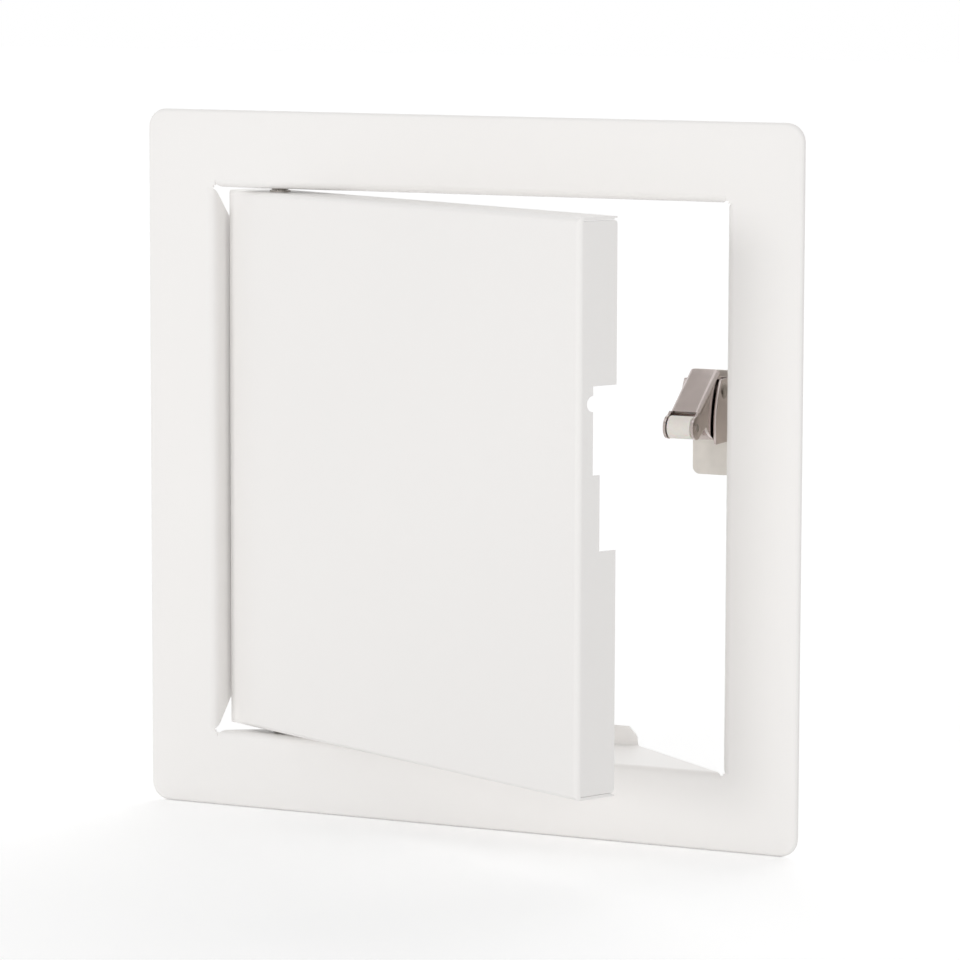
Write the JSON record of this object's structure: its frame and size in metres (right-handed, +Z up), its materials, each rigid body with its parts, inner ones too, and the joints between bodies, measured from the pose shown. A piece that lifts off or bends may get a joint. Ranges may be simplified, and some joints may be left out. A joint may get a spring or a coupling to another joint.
{
  "type": "hinged access panel",
  "caption": "Square white coated steel access panel: flanged frame with folded collar flaps, hinged tray door on pivot pins and a plated roller latch.",
  "frame": {"origin": "middle of the panel on the wall's surface, at the plane where the flange's edge meets the wall", "axes": "+X to the right seen from the room, +Y into the wall, +Z up; the hinge is on the left"},
  "size_m": [0.19, 0.0979, 0.19],
  "materials": {
    "white_coated_steel": "smooth semi-gloss powder coat",
    "nickel_plated_steel": "bright nickel plate",
    "zinc_plated_steel": "bright zinc plate",
    "bright_steel": "bright turned steel",
    "spring_steel": "drawn spring wire",
    "white_nylon": "moulded, satin"
  },
  "bodies": {
    "frame": {"frame": "white_coated_steel", "hinge_pin_upper": "bright_steel", "hinge_pin_lower": "bright_steel", "latch_bracket": "zinc_plated_steel", "bracket_rivets": "bright_steel", "latch_housing": "nickel_plated_steel", "housing_rivets": "bright_steel", "lever_pin": "bright_steel", "lever_spring": "spring_steel"},
    "door": {"door_leaf": "white_coated_steel", "hinge_washer_upper": "bright_steel", "hinge_washer_lower": "bright_steel", "strike": "white_coated_steel"},
    "latch_lever": {"latch_lever": "nickel_plated_steel", "roller_axle": "bright_steel"},
    "catch_roller": {"catch_roller": "white_nylon"}
  },
  "joints": [
    {"name": "door_hinge", "type": "hinge", "parent": "frame", "child": "door", "pos_m": [-0.0575, 0.0043, 0], "axis": [0, 0, -1], "range_deg": [-25.7, 84.3]},
    {"name": "lever_turn", "type": "hinge", "parent": "frame", "child": "latch_lever", "pos_m": [0.0595, 0.0214, 0.0233], "axis": [1, 0, 0], "range_deg": [0, 12], "stiffness_Nm_per_rad": 0.004, "springref_deg": -20.05, "deforming": ["lever_spring"]},
    {"name": "roller_spin", "type": "hinge", "parent": "latch_lever", "child": "catch_roller", "pos_m": [0.0595, 0.00519, 0.01499], "axis": [1, 0, 0], "continuous": true}
  ]
}
